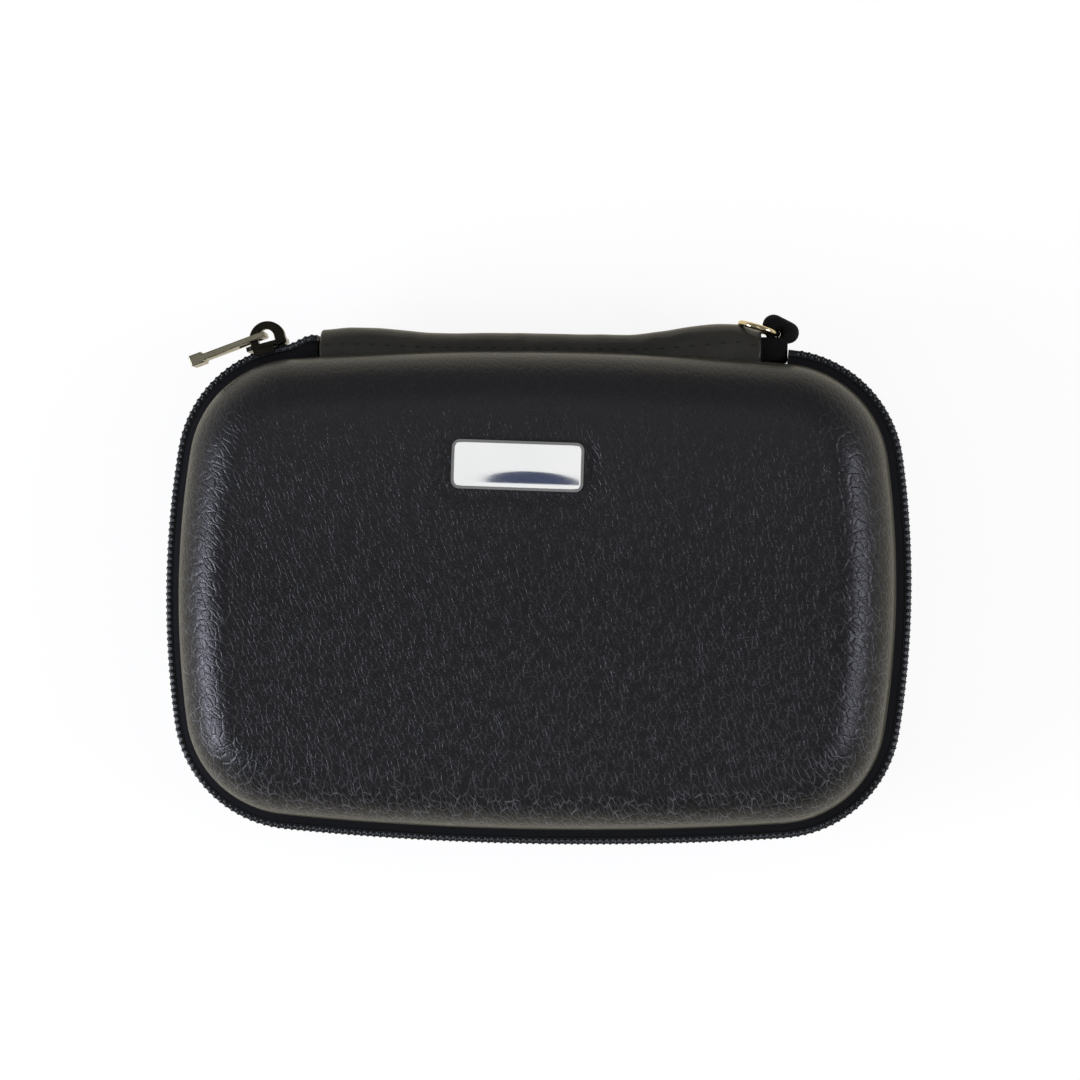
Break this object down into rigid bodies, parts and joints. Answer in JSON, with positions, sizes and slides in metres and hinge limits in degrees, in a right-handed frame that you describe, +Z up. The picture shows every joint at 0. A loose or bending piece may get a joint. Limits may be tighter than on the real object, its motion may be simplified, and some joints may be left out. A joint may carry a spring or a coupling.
{
  "type": "hard drive case",
  "caption": "Zipped semi-rigid case for a 2.5-inch drive in black pebbled imitation leather, with a padded spine, a bare chrome plate, a pull tab and a gold ring.",
  "frame": {"origin": "centre of the flat underside of the closed case", "axes": "+X along the length, +Y towards the spine, +Z up"},
  "size_m": [0.1488, 0.1061, 0.0399],
  "materials": {
    "leather": "pebbled",
    "foam": "matte",
    "lining": "knitted",
    "binding": "woven",
    "elastic": "ribbed",
    "webbing": "woven",
    "net": "net",
    "zip_tape": "woven",
    "zip_coil": "satin",
    "chrome": "polished",
    "adhesive": "matte",
    "gunmetal": "polished",
    "gold": "polished"
  },
  "bodies": {
    "base": {"base_cover": "leather", "base_shell": "foam", "base_lining": "lining", "base_binding": "binding", "strap_left": "elastic", "strap_right": "elastic", "zip_tape_base": "zip_tape", "zip_coil_base": "zip_coil"},
    "spine": {"spine_strip": "leather", "spine_core": "foam", "spine_lining": "lining", "ring_loop": "webbing"},
    "lid": {"lid_cover": "leather", "lid_shell": "foam", "lid_lining": "lining", "lid_binding": "binding", "pocket_net": "net", "pocket_hem": "elastic", "name_plate": "chrome", "plate_adhesive": "adhesive", "zip_tape_lid": "zip_tape", "zip_coil_lid": "zip_coil"},
    "slider": {"slider_body": "gunmetal", "slider_bridge": "gunmetal"},
    "tab": {"pull_tab": "gunmetal"},
    "ring": {"ring": "gold"}
  },
  "joints": [
    {"name": "spine_fold", "type": "hinge", "parent": "base", "child": "spine", "pos_m": [0, 0.048, 0.0145], "axis": [-1, 0, 0], "range_deg": [0, 90]},
    {"name": "lid_fold", "type": "hinge", "parent": "spine", "child": "lid", "pos_m": [0, 0.048, 0.0245], "axis": [-1, 0, 0], "range_deg": [0, 90]},
    {"name": "slider_travel", "type": "hinge", "parent": "base", "child": "slider", "pos_m": [-0.04782, 0.02384, 0.0195], "axis": [0, 0, 1], "range_deg": [0, 55.92], "deforming": ["zip_tape_base", "zip_coil_base", "zip_tape_lid", "zip_coil_lid"]},
    {"name": "tab_swing", "type": "hinge", "parent": "slider", "child": "tab", "pos_m": [-0.05583, 0.05031, 0.0195], "axis": [0, 0, -1], "range_deg": [-8, 150]},
    {"name": "ring_swing", "type": "hinge", "parent": "spine", "child": "ring", "pos_m": [0.0472, 0.05163, 0.0195], "axis": [0, 0, -1], "range_deg": [-8, 110]}
  ],
  "couplings": [
    {"joint": "spine_fold", "follows": "lid_fold", "ratio": 1}
  ]
}
